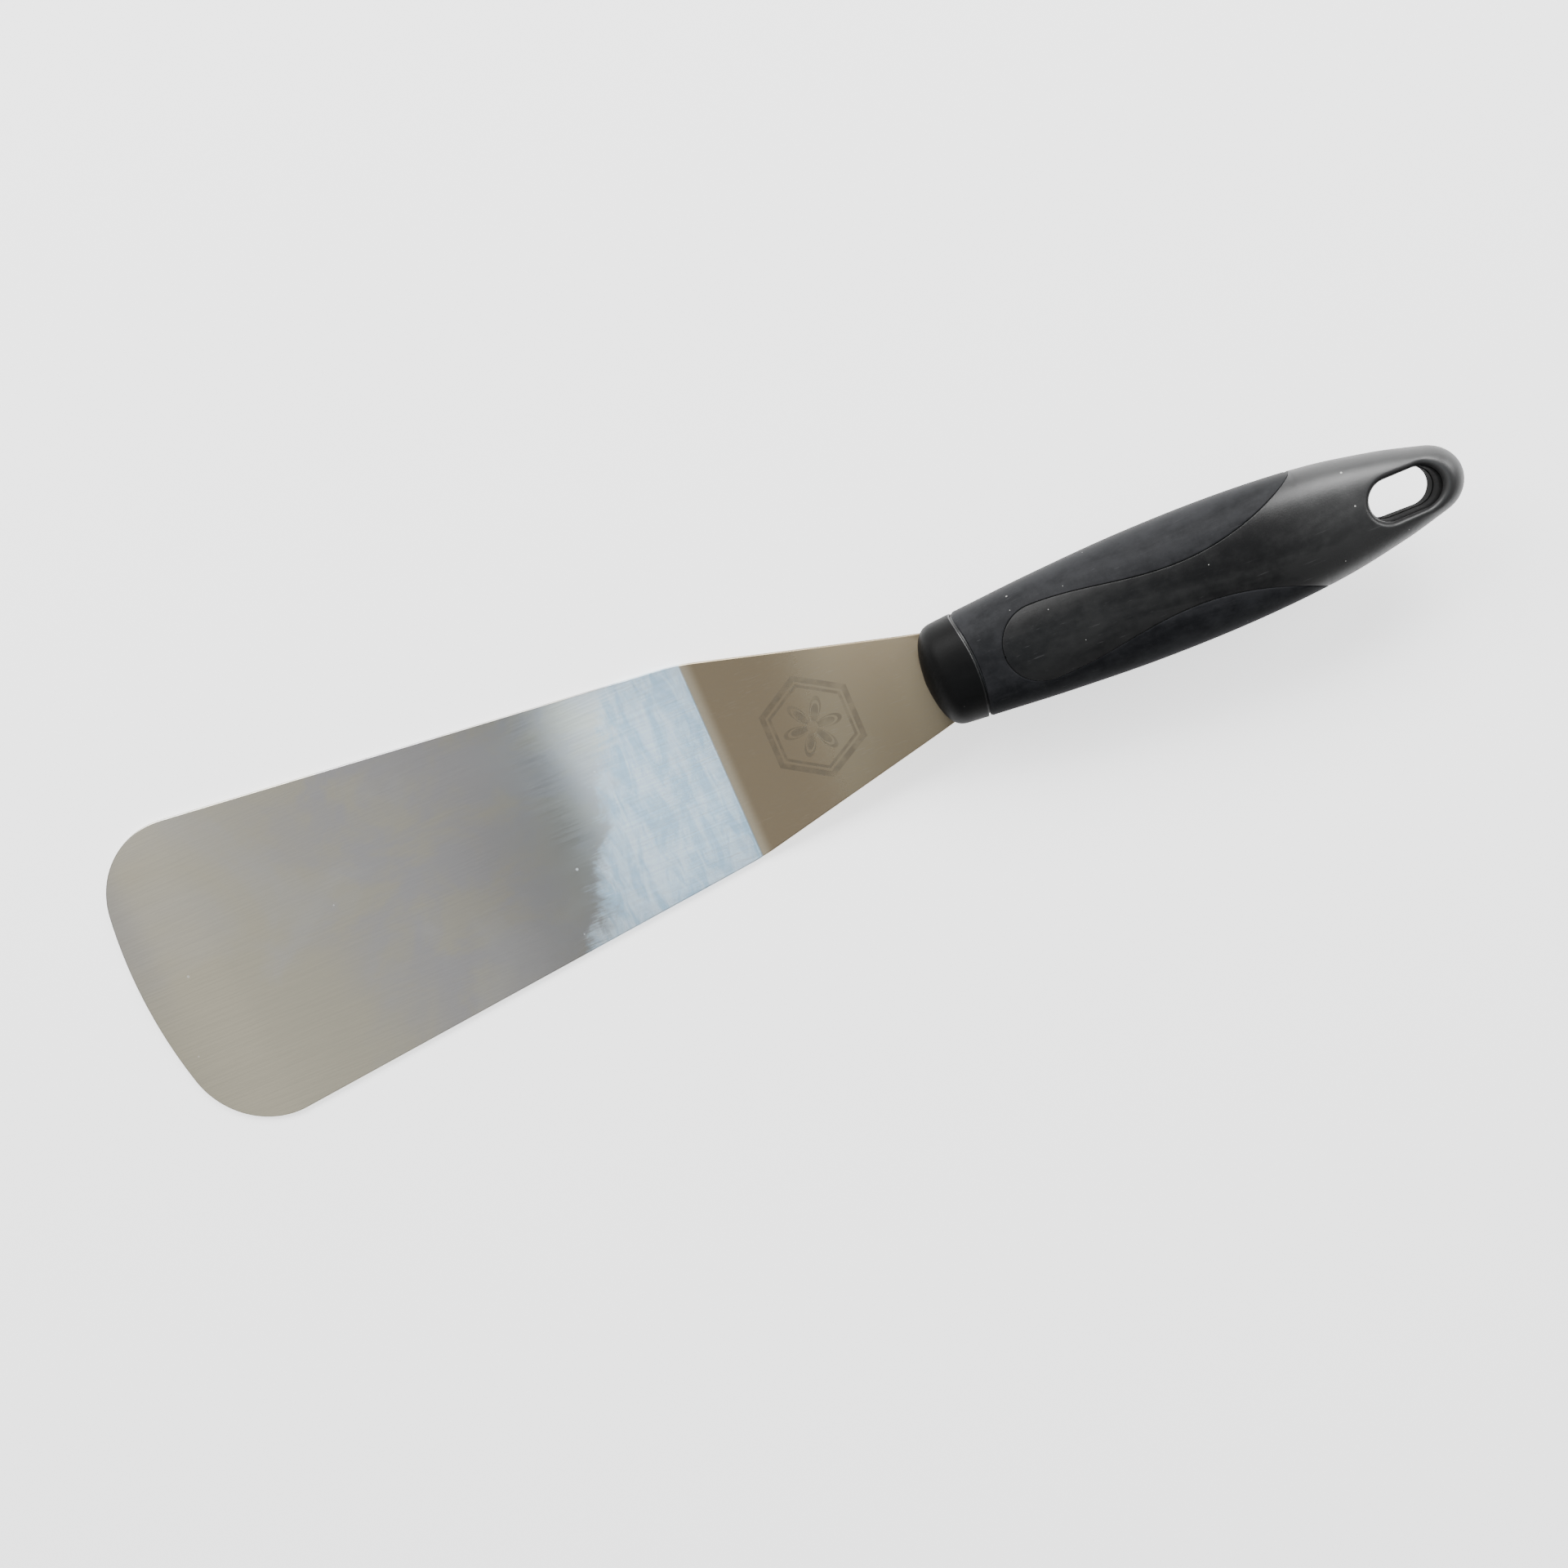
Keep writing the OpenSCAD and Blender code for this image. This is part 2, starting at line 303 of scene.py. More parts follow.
def sunk(p, depth):
    return p - outward(p) * np.asarray(depth, float)[..., None]


def edge_drop(distance):
    """How far the skin drops at a distance from a piece's rounded edge."""
    into = np.clip(SEAM_R - distance, 0, SEAM_R)
    return SEAM_R - np.sqrt(SEAM_R ** 2 - into ** 2)


class Skin:
    """Collects grids of points, mirrors them to all four quarters and joins them."""

    def __init__(self):
        self.bm = bmesh.new()

    def add(self, grid, inside_out=False, finish=0):
        rows, cols = grid.shape[:2]
        for side, top in ((1, 1), (-1, 1), (1, -1), (-1, -1)):
            flip = (side * top < 0) != inside_out
            verts = [[self.bm.verts.new(p * (1, side, top)) for p in row] for row in grid]
            for i in range(rows - 1):
                for j in range(cols - 1):
                    quad = [verts[i][j], verts[i + 1][j], verts[i + 1][j + 1], verts[i][j + 1]]
                    face = self.bm.faces.new(quad[::-1] if flip else quad)
                    face.material_index = finish

    def piece(self, name, slot, node):
        bm = self.bm
        bmesh.ops.remove_doubles(bm, verts=bm.verts, dist=2e-4)
        bmesh.ops.dissolve_degenerate(bm, dist=1e-5, edges=bm.edges)
        bmesh.ops.holes_fill(bm, edges=[e for e in bm.edges if e.is_boundary], sides=0)
        bmesh.ops.recalc_face_normals(bm, faces=bm.faces)
        for v in bm.verts:
            s, y, z = v.co
            x, up = HANDLE_AT + s * HANDLE_DIR + z * HANDLE_UP
            v.co = (x, y, up)
        return new_piece(name, bm, node)


# ---- the seam between the hard tongue and the soft grip ----
def tongue_half_w(s):
    to_waist = (1 + np.cos(np.pi * (s - BULB_AT) / (WAIST_AT - BULB_AT))) / 2
    to_flare = ((s - WAIST_AT) / (GRIP_END - WAIST_AT)) ** 2
    return np.where(
        s < WAIST_AT, WAIST_HALF_W + (BULB_R - WAIST_HALF_W) * to_waist,
        WAIST_HALF_W + (FLARE_HALF_W - WAIST_HALF_W) * to_flare)


TIP_ROWS, SIDE_ROWS = 26, 90
GRIP_COLUMNS, TONGUE_COLUMNS = 26, 12
places = np.linspace(WAIST_AT, GRIP_END, 2001)   # the seam ends where the tongue is as wide as the handle
SEAM_END = float(places[np.argmax(tongue_half_w(places) > half_w(places))])


def seam():
    """The seam in plan, from the tongue's tip round its bulb and along its side, as s and turn."""
    round_tip = np.radians(np.linspace(180, 90, TIP_ROWS))
    side = np.linspace(BULB_AT, SEAM_END, SIDE_ROWS)[1:]
    s = np.concatenate([BULB_AT + BULB_R * np.cos(round_tip), side])
    y = np.concatenate([BULB_R * np.sin(round_tip), np.minimum(tongue_half_w(side), half_w(side))])
    y[0] = 0
    return s, turn_at(s, y)


def groove_at(turn):
    return GROOVE_SIDE + GROOVE_BULGE * (1 - np.cos(turn) ** (4 / SQUARENESS))


def seam_columns(start, end, count):
    """Shares of each row from start to end, close together at the start, and their distances from it."""
    length = np.linalg.norm(end - start, axis=-1)
    near = np.array([0, 0.05, 0.12, 0.2, 0.3, 0.5])
    shares = []
    for row in length:
        close = near / max(row, 1e-6)
        if close[-1] > 0.5:
            shares.append(np.linspace(0, 1, len(near) + count))
        else:
            shares.append(np.concatenate([close, np.linspace(close[-1], 1, count + 1)[1:]]))
    shares = np.array(shares)
    return shares, shares * length[:, None]


def grip_grids():
    """The soft grip's skin from the seam outwards, with the distances from the seam and from the groove."""
    s0, turn0 = seam()
    turn_front = np.radians(np.linspace(90, 0, TIP_ROWS))
    s_side = np.interp(s0[TIP_ROWS:], (BULB_AT, SEAM_END), (groove_at(0), SEAM_END))
    s1 = np.concatenate([groove_at(turn_front) + GROOVE_W / 2, s_side])
    turn1 = np.concatenate([turn_front, np.zeros(SIDE_ROWS - 1)])
    share, from_seam = seam_columns(round_side(s0, turn0), round_side(s1, turn1), GRIP_COLUMNS)
    s = s0[:, None] + (s1 - s0)[:, None] * share
    turn = turn0[:, None] + (turn1 - turn0)[:, None] * share
    grid = round_side(s, turn)
    from_groove = s - groove_at(turn) - GROOVE_W / 2
    return grid, from_seam, from_groove


def make_grip():
    grid, from_seam, from_groove = grip_grids()
    outer = sunk(grid, edge_drop(from_seam) + edge_drop(from_groove))
    inner = sunk(grid, np.full(grid.shape[:2], SKIN_T))
    skin = Skin()
    skin.add(outer)
    skin.add(inner, inside_out=True)
    skin.add(np.stack([inner[:, 0], outer[:, 0]], axis=1))
    skin.add(np.stack([outer[:TIP_ROWS, -1], inner[:TIP_ROWS, -1]], axis=1))
    return skin.piece("grip_skin", "soft_rubber", "soft_grip")


def tongue_grid():
    """The tongue's skin from the seam to the middle line, and the turns of its rearmost row."""
    s0, turn0 = seam()
    s1 = np.concatenate([np.linspace(s0[0], BULB_AT, TIP_ROWS), s0[TIP_ROWS:]])
    middle = np.full(len(s0), np.pi / 2)
    share, from_seam = seam_columns(round_side(s0, turn0), round_side(s1, middle), TONGUE_COLUMNS)
    s = s0[:, None] + (s1 - s0)[:, None] * share
    turn = turn0[:, None] + (middle - turn0)[:, None] * share
    fade = np.clip((SEAM_END - s) / SEAM_FADE, 0, 1)
    return sunk(round_side(s, turn), edge_drop(from_seam) * fade), turn[-1]


# ---- the hang slot and the rear end round it ----
SLOT_R = SLOT_W / 2
SLOT_REAR = HANDLE_LEN - SLOT_WALL
SLOT_FRONT = SLOT_REAR - SLOT_LEN
BLOCK_AT = SLOT_FRONT - BLOCK_LEAD
BODY_ROWS = 16
# Columns of the slot's wall from the middle up: share of its height, and how far it stands into the slot
WALL_COLUMNS = ((0, LEDGE), (0.04, LEDGE), (0.08, 0), (0.3, 0), (0.5, 0), (0.7, 0), (0.85, 0))
WALL_RIM = 3                              # this column of the rim belongs to the wall and to the skin


def slot_outline():
    """Far half of the slot's outline in plan, from its front to its rear, and the directions away from it."""
    front_c, rear_c = SLOT_FRONT + SLOT_R, SLOT_REAR - SLOT_R
    front_turn = np.radians(np.linspace(180, 90, 20))
    rear_turn = np.radians(np.linspace(90, 0, 26))
    straight = np.linspace(front_c, rear_c, 16)[1:-1]
    centres = np.concatenate([np.full(len(front_turn), front_c), straight, np.full(len(rear_turn), rear_c)])
    turn = np.concatenate([front_turn, np.full(len(straight), np.pi / 2), rear_turn])
    away = np.c_[np.cos(turn), np.sin(turn)]
    return np.c_[centres, np.zeros(len(centres))] + SLOT_R * away, away


def block_outline(turns, count):
    """Far half of the handle's outline in plan: straight out from the middle, then round the rear end."""
    front_y = half_w(BLOCK_AT) * np.cos(turns[::-1]) ** (2 / SQUARENESS)
    share = np.linspace(0, 1, count - len(turns) + 1)[1:]
    side_s = BLOCK_AT + (END_C - BLOCK_AT) * np.minimum(share / 0.5, 1)
    cap = np.radians(90 * (1 - np.clip((share - 0.5) / 0.5, 0, 1)))
    s = np.where(share > 0.5, END_C + END_R * np.cos(cap), side_s)
    y = np.where(s < HANDLE_LEN - 1e-4, half_w(s), 0)
    return np.concatenate([np.c_[np.full(len(front_y), BLOCK_AT), front_y], np.c_[s, y]])


def slot_grids(turns):
    """The slot's wall, and its rounded rim with the skin round it: a row for each point of the slot."""
    rim, away = slot_outline()
    outline = block_outline(turns, len(rim))
    rim_w = RIM_W + RIM_MORE * np.clip(away[:, :1], 0, 1)
    start = rim + rim_w * away
    share = np.sin(np.linspace(0, np.pi / 2, 22)) ** 0.9
    plan = start[:, None, :] + (outline - start)[:, None, :] * share[None, :, None]
    top = over(plan[..., 0], np.minimum(plan[..., 1], half_w(plan[..., 0])))
    rise = np.radians(np.linspace(0, 90, 9))[:-1]
    rim_plan = rim[:, None, :] + away[:, None, :] * rim_w[:, None] * (1 - np.cos(rise))[None, :, None]
    rim_top = over(rim_plan[..., 0], rim_plan[..., 1])
    rim_top[..., 2] -= RIM_DEEP * (1 - np.sin(rise))
    columns = [np.c_[rim - away * into, rim_top[:, 0, 2] * up] for up, into in WALL_COLUMNS]
    wall = np.concatenate([np.stack(columns, axis=1), rim_top[:, :WALL_RIM + 1]], axis=1)
    skin = np.concatenate([rim_top[:, WALL_RIM:], top], axis=1)
    for grid in (wall, skin):
        grid[[0, -1], :, 1] = 0
    return wall, skin


def make_core():
    skin = Skin()
    tongue, turns = tongue_grid()
    skin.add(tongue, inside_out=True)
    # Spine under the soft grip, and the wall of the seam down to it
    grid, _, _ = grip_grids()
    spine = sunk(grid, np.full(grid.shape[:2], SKIN_T))
    skin.add(spine)
    skin.add(np.stack([spine[:, 0], tongue[:, 0]], axis=1))
    # Body behind the grip, then the slot's wall and the skin round it
    body_s = np.linspace(SEAM_END, BLOCK_AT, BODY_ROWS)
    skin.add(round_side(body_s[:, None], turns[None, :]), inside_out=True)
    wall, around = slot_grids(turns)
    # The slot's wall gets the dull finish, whose darker colour is painted shade.
    skin.add(wall, finish=1)
    skin.add(around)
    return skin.piece("core_shell", "core_plastic", "handle_core")


def make_collar():
    skin = Skin()
    turns = np.radians(np.linspace(0, 90, 40))
    rear = groove_at(turns) - GROOVE_W / 2
    dome = NOSE_LEN * (1 - np.cos(np.radians(np.linspace(2, 90, 26))))
    band = np.linspace(0, 1, 8)[1:-1]
    edge = np.array([0.34, 0.3, 0.2, 0.12, 0.05, 0.0])     # how far ahead of the groove the lip's rows are
    rows = [round_side(s, turns) for s in dome]
    rows += [round_side(NOSE_LEN + (rear - edge[0] - NOSE_LEN) * f, turns) for f in band]
    rows += [sunk(round_side(rear - d, turns), edge_drop(np.full(len(turns), d))) for d in edge]
    # Spigot behind the groove's bottom
    rows += [sunk(round_side(rear + d, turns), np.full(len(turns), GROOVE_DEEP)) for d in (0, GROOVE_W + 1)]
    lip = len(rows) - 2 - len(edge)
    skin.add(np.stack(rows[:lip + 1], axis=0))
    skin.add(np.stack(rows[lip:], axis=0), finish=1)
    return skin.piece("collar_cap", "collar_plastic", "front_collar")


# ---- materials ----
class Look:
    """A material under construction. A node's input may be a number, a colour or another node's output."""

    def __init__(self, name, **settings):
        self.mat = bpy.data.materials.new(name)
        self.mat.use_nodes = True
        self.tree = self.mat.node_tree
        self.bsdf = self.tree.nodes["Principled BSDF"]
        for key, value in settings.items():
            self.set(key, value)
        coords = self.tree.nodes.new("ShaderNodeTexCoord").outputs["Object"]
        self.mm = self.add("ShaderNodeVectorMath", {0: coords, 1: (1 / MM,) * 3}, operation="MULTIPLY")
        self.x = self.add("ShaderNodeSeparateXYZ", {0: self.mm}, output=0)
        self.y = self.add("ShaderNodeSeparateXYZ", {0: self.mm}, output=1)

    def put(self, socket, value):
        if isinstance(value, bpy.types.NodeSocket):
            self.tree.links.new(value, socket)
        elif socket.type == "RGBA" and len(value) == 3:
            socket.default_value = (*value, 1)
        else:
            socket.default_value = value

    def set(self, key, value):
        self.put(self.bsdf.inputs[key], value)

    def add(self, kind, inputs, output=0, **props):
        node = self.tree.nodes.new(kind)
        for key, value in props.items():
            setattr(node, key, value)
        for key, value in inputs.items():
            self.put(node.inputs[key], value)
        return node.outputs[output]

    def math(self, operation, a, b=0.0):
        return self.add("ShaderNodeMath", {0: a, 1: b}, operation=operation)

    def chain(self, operation, first, others):
        for other in others:
            first = self.math(operation, first, other)
        return first

    def sum(self, first, *others):
        return self.chain("ADD", first, others)

    def times(self, first, *others):
        return self.chain("MULTIPLY", first, others)

    def most(self, first, *others):
        return self.chain("MAXIMUM", first, others)

    def less(self, a, b):
        return self.math("SUBTRACT", a, b)

    def abs(self, value):
        return self.math("ABSOLUTE", value)

    def stretch(self, scale, turn):
        """Places in millimetres, scaled along each axis and then turned about Z."""
        return self.add("ShaderNodeMapping", {"Vector": self.mm, "Scale": scale, "Rotation": (0, 0, turn)})

    def noise(self, scale, detail=3.0, roughness=0.5, distortion=0.0, turn=0.0):
        """Soft noise from 0 to 1. The scale is in waves per millimetre, all ways alike or one for each axis.
        The turn, in radians, comes after the scaling, so it only gives another cut of the same noise."""
        each = scale if isinstance(scale, tuple) else (scale,) * 3
        return self.add("ShaderNodeTexNoise", {
            "Vector": self.stretch(each, turn), "Scale": 1.0, "Detail": detail, "Roughness": roughness,
            "Distortion": distortion})

    def span(self, value, low, high, to_low=0.0, to_high=1.0):
        """Smooth step from to_low to to_high while the value goes from low to high."""
        ends = {"From Min": low, "From Max": high, "To Min": to_low, "To Max": to_high}
        return self.add("ShaderNodeMapRange", {"Value": value, **ends}, interpolation_type="SMOOTHSTEP")

    def mix(self, factor, a, b):
        return self.add("ShaderNodeMix", {0: factor, 6: a, 7: b}, output=2, data_type="RGBA")

    def bump(self, height, strength, distance, normal=None):
        inputs = {"Height": height, "Strength": strength, "Distance": distance * MM}
        if normal is not None:
            inputs["Normal"] = normal
        return self.add("ShaderNodeBump", inputs)

    def specks(self, spacing, size, share):
        """Sparse round dots: one in each cell of the given spacing, kept in a share of the cells."""
        cells = self.tree.nodes.new("ShaderNodeTexVoronoi")
        self.put(cells.inputs["Vector"], self.stretch((1 / spacing,) * 3, 0.0))
        cells.inputs["Scale"].default_value = 1.0
        tone = self.add("ShaderNodeSeparateColor", {0: cells.outputs["Color"]})
        kept = self.math("LESS_THAN", tone, share)
        radius = size / spacing
        dot = self.span(cells.outputs["Distance"], radius * 0.6, radius, 1.0, 0.0)
        return self.times(dot, kept)


# ---- the steel's colours, patterns and places: x and y in millimetres, in the part's own frame ----
# The warm steel at the blade's front is a painted warm reflection.
WARM_REFLECTION_STEEL, GREY_STEEL, YELLOW_STEEL = (0.60, 0.575, 0.475), (0.50, 0.495, 0.50), (0.55, 0.53, 0.45)
PALE_STEEL, SHADED_STEEL = (0.60, 0.60, 0.59), (0.29, 0.29, 0.285)
# The blue and white steel of the scuffed patch is a painted bright bluish reflection.
BLUE_REFLECTION_STEEL, WHITE_REFLECTION_STEEL = (0.46, 0.61, 0.73), (0.70, 0.79, 0.85)
# The pale bend steel is a painted highlight along the crank, and the brown neck steel is a painted
# reflection.
BEND_HIGHLIGHT_STEEL, NECK_REFLECTION_STEEL, NECK_END_STEEL = (0.60, 0.54, 0.41), (0.36, 0.295, 0.20), (0.29, 0.235, 0.155)
GRAIN_STEEL, SCRATCH_STEEL = (0.25, 0.25, 0.25), (0.95, 0.96, 0.97)
MARK_STEEL, SPECK_STEEL = (0.09, 0.08, 0.07), (0.95, 0.95, 0.93)

CLOUDS = {"scale": 0.024, "detail": 4.0, "roughness": 0.55, "distortion": 0.7}
TINTS = {"scale": (0.045, 0.07, 0.07), "detail": 4.0, "roughness": 0.6, "distortion": 0.5}
BLOTCHES = {"scale": 0.11, "detail": 5.0, "roughness": 0.62, "distortion": 0.4}
PATCH_REFLECTION_NOISE = {"scale": (0.30, 0.085, 0.085), "detail": 5.0, "roughness": 0.66, "distortion": 0.5, "turn": 0.35}
GRAIN = {"scale": (0.07, 2.6, 2.6), "detail": 4.0, "roughness": 0.6, "turn": -0.12}
SCRATCHES = (
    {"scale": (0.05, 5.0, 1.0), "detail": 2.0, "turn": 0.05},
    {"scale": (0.16, 4.0, 1.0), "detail": 2.0, "turn": 1.1},
    {"scale": (0.12, 5.0, 1.0), "detail": 2.0, "turn": 1.45})

WARM_TO, GREY_FROM = -42, -8              # the warm front runs into the grey middle between these
CLOUD_SHIFT, WARM_SLANT = 70.0, 0.25      # how far clouds move that border, and how much it slants
STREAK_AT, STREAK_ACROSS = (47.0, 10.0), (0.87, 0.49)
SHADE_FROM, SHADE_TO, SHADE = -8, 36, 0.72  # darker ahead of the patch
PATCH_FROM, PATCH_TO, PATCH_SLANT = 44, 52, 0.52
PATCH_BLOTCH, PATCH_GRAIN = 22.0, 7.0     # how far blotches and grain move the patch's border
NECK_ZONES = ((-0.1, 0.5, BEND_HIGHLIGHT_STEEL), (0.5, 3.5, NECK_REFLECTION_STEEL), (20, 44, NECK_END_STEEL))  # from the crank

MARK_AT, MARK_R = 24.0, 12.0              # the mark's middle, from the crank along the neck, and its radius
MARK_LINES = ((0.87, 0.55), (0.74, 0.22))  # each hexagon's radius as a share of MARK_R, and its half width
MARK_SOFT = 0.25
PETALS, PETAL_R, PETAL_INSET = 6, 0.62 * MARK_R, 1.5


def etched_mark(look):
    """Mask of the etched mark: a hexagon of two lines round a rosette of six petals."""
    along_neck = look.math("DIVIDE", look.less(look.x, CRANK_X), math.cos(NECK_ANGLE))
    x, y = look.less(along_neck, MARK_AT), look.y
    sides = []
    for turn in (0, math.pi / 3, 2 * math.pi / 3):
        sides.append(look.abs(look.sum(look.times(x, math.cos(turn)), look.times(y, math.sin(turn)))))
    away = look.most(*sides)
    lines = []
    for share, half in MARK_LINES:
        lines.append(look.span(look.abs(look.less(away, MARK_R * share)), half, half + MARK_SOFT, 1.0, 0.0))
    r = look.math("SQRT", look.sum(look.times(x, x), look.times(y, y)))
    petal = look.abs(look.math("COSINE", look.times(look.math("ARCTAN2", y, x), PETALS / 2)))
    inside = look.less(look.times(petal, PETAL_R), r)
    hollow = look.span(look.abs(look.less(inside, PETAL_INSET)), 0.25, 0.5)
    centre = look.span(r, 1.2, 1.5)
    rosette = look.times(look.span(inside, -0.1, 0.3), hollow, centre)
    # Only on the upper side, and worn
    normal = look.add("ShaderNodeNewGeometry", {}, output=1)
    up = look.add("ShaderNodeSeparateXYZ", {0: normal}, output=2)
    worn = look.span(look.noise(0.35, 2.0), 0.3, 0.62, 0.35, 1.0)
    return look.times(look.most(*lines, rosette), look.math("GREATER_THAN", up, 0.5), worn)


def blade_color(look, clouds, from_mean):
    """Warm grey at the front, which is a painted warm reflection, then grey with yellowish clouds, and greyer
    along the front edge's far half.
    """
    placed = look.sum(look.x, look.times(from_mean, CLOUD_SHIFT), look.times(look.y, WARM_SLANT))
    middle_color = look.mix(look.span(look.noise(**TINTS), 0.4, 0.62), GREY_STEEL, YELLOW_STEEL)
    color = look.mix(look.span(placed, WARM_TO, GREY_FROM), WARM_REFLECTION_STEEL, middle_color)
    color = look.mix(look.span(clouds, 0.5, 0.68, 0.0, 0.5), color, PALE_STEEL)
    far_front = look.times(look.span(look.x, -74, -66, 0.6, 0.0), look.span(look.y, -15, 20))
    return look.mix(far_front, color, GREY_STEEL)


def wiped_streak(look, blotches):
    """Mask of a slanting wiped streak ahead of the patch."""
    x, y = look.less(look.x, STREAK_AT[0]), look.less(look.y, STREAK_AT[1])
    across = look.sum(look.times(x, STREAK_ACROSS[0]), look.times(y, STREAK_ACROSS[1]))
    band = look.span(look.abs(across), 0.5, 4.0, 0.55, 0.0)
    ends = look.span(look.abs(y), 6, 15, 1.0, 0.0)
    return look.times(band, look.span(blotches, 0.3, 0.6), ends)


def scuffed_patch_with_painted_reflection(look, blotches, grain):
    """Mask of the scuffed patch before the crank, with a ragged slanting border: the patch is rougher and
    scratched, and painted with a bright bluish reflection.
    """
    ragged = look.sum(
        look.times(look.less(blotches, 0.5), PATCH_BLOTCH), look.times(look.less(grain, 0.5), PATCH_GRAIN))
    border = look.sum(look.less(look.x, look.times(look.y, PATCH_SLANT)), ragged)
    before_crank = look.span(look.x, CRANK_X, CRANK_X + 0.5, 1.0, 0.0)
    return look.times(look.span(border, PATCH_FROM, PATCH_TO), before_crank)


def scratch_mask(look, blotches, patch):
    """Fine lengthwise scratches: hardly seen on the blade, and clear on the patch."""
    lines = [look.span(look.noise(**pattern), 0.64, 0.72) for pattern in SCRATCHES]
    strength = look.sum(look.times(patch, 0.55), 0.05)
    return look.times(look.most(*lines), look.span(blotches, 0.42, 0.62), strength)


def steel_look():
    look = Look("satin_stainless", Metallic=1.0)
    clouds, blotches, grain = look.noise(**CLOUDS), look.noise(**BLOTCHES), look.noise(**GRAIN)
    from_mean = look.less(clouds, 0.5)
    patch = scuffed_patch_with_painted_reflection(look, blotches, grain)
    scratches = scratch_mask(look, blotches, patch)
    mark = etched_mark(look)
    dots = look.most(look.specks(11.0, 0.42, 0.22), look.specks(6.0, 0.24, 0.2))

    color = blade_color(look, clouds, from_mean)
    color = look.mix(wiped_streak(look, blotches), color, PALE_STEEL)
    shaded = look.span(look.x, SHADE_FROM, SHADE_TO, 0.0, SHADE)
    shaded = look.times(shaded, look.span(look.y, -4, 26, 1.0, 0.5))
    color = look.mix(shaded, color, SHADED_STEEL)
    # Painted reflection: the scuffed patch is painted bright blue and white
    patch_reflection = look.mix(look.span(look.noise(**PATCH_REFLECTION_NOISE), 0.36, 0.64), BLUE_REFLECTION_STEEL, WHITE_REFLECTION_STEEL)
    color = look.mix(patch, color, patch_reflection)
    # Neck: a pale line where it leaves the crank, which is a painted highlight, then brown, which is a
    # painted reflection, and darker towards the handle
    for start, end, steel in NECK_ZONES:
        color = look.mix(look.span(look.x, CRANK_X + start, CRANK_X + end), color, steel)
    color = look.mix(look.span(grain, 0.35, 0.7, 0.0, 0.09), color, GRAIN_STEEL)
    color = look.mix(scratches, color, SCRATCH_STEEL)
    color = look.mix(look.times(mark, 0.42), color, MARK_STEEL)
    color = look.mix(look.times(dots, 0.7), color, SPECK_STEEL)
    look.set("Base Color", color)

    duller_front = look.span(look.x, -20, 20, 0.08, 0.0)
    duller_neck = look.span(look.x, CRANK_X + 14, CRANK_X + 40, 0.0, 0.34)
    look.set("Roughness", look.sum(
        look.span(grain, 0.3, 0.7, 0.12, 0.145), duller_front, look.times(patch, 0.12), duller_neck,
        look.times(from_mean, 0.08), look.times(look.most(mark, dots), 0.08)))
    lines = look.bump(grain, 0.04, 0.03)
    look.set("Normal", look.bump(look.less(1.0, look.most(mark, scratches)), 0.15, 0.03, lines))
    return look.mat


# ---- the plastics ----
# The rear end's paler colour is a painted highlight.
REAR_HIGHLIGHT_FROM, REAR_HIGHLIGHT_TO = 190.0, 235.0         # where the bare plastic of the rear end gets paler
GLOSS_FROM, GLOSS_TO = 200.0, 226.0       # where it gets shinier
NEAR_SIDE, FAR_SIDE = -8, 4               # gloss rises from the near side to the far side between these
SMUDGES = {"scale": (0.022, 0.075, 0.05), "detail": 4.0, "roughness": 0.6, "distortion": 0.8}
FINE_SMUDGES = {"scale": 0.3, "detail": 4.0, "roughness": 0.65}
SCUFFS = {"scale": (0.10, 2.6, 2.6), "turn": 0.5}
SCUFF_COLOR, DUST_COLOR = (0.25, 0.25, 0.26), (0.45, 0.45, 0.43)
# Two colours, roughness, grain in waves per millimetre, its height in millimetres, dust, turn of the smudges,
# how much a painted highlight makes the rear paler, gloss (or gloss at the front and at the rear), and its
# share on the near side
PLASTICS = {
    "soft_touch": {
        "dark": (0.008, 0.0084, 0.0095), "light": (0.021, 0.0215, 0.0235), "rough": 0.55,
        "grain_scale": 2.2, "grain_height": 0.05, "dust": 0.6, "turn": 0.9,
        "gloss": (0.11, 0.25), "near_gloss": 0.25},
    "core_satin": {
        "dark": (0.0035, 0.0035, 0.0037), "light": (0.013, 0.013, 0.013), "rough": 0.42,
        "grain_scale": 3.0, "grain_height": 0.04, "dust": 0.9, "turn": 0.3, "rear": 0.5,
        "gloss": (0.26, 0.88), "near_gloss": 0.6},
    # The slot's wall is duller, and its darker colour is painted shade inside the slot.
    "core_dull_shaded": {
        "dark": (0.004, 0.004, 0.004), "light": (0.007, 0.007, 0.007), "rough": 0.8,
        "grain_scale": 3.0, "grain_height": 0.04, "dust": 0.1, "gloss": 0.08},
    "collar_satin": {
        "dark": (0.0015, 0.0015, 0.0015), "light": (0.003, 0.003, 0.003), "rough": 0.5,
        "grain_scale": 2.0, "grain_height": 0.02, "dust": 0.1, "gloss": 0.12},
    # The lip's colour, paler than the collar's, is a painted highlight along the groove; its gloss also
    # catches the lamps.
    "collar_lip_highlight": {
        "dark": (0.006, 0.006, 0.006), "light": (0.012, 0.012, 0.012), "rough": 0.4,
        "grain_scale": 2.0, "grain_height": 0.01, "dust": 0.1, "gloss": (0.75, 0.75), "near_gloss": 0.2}}


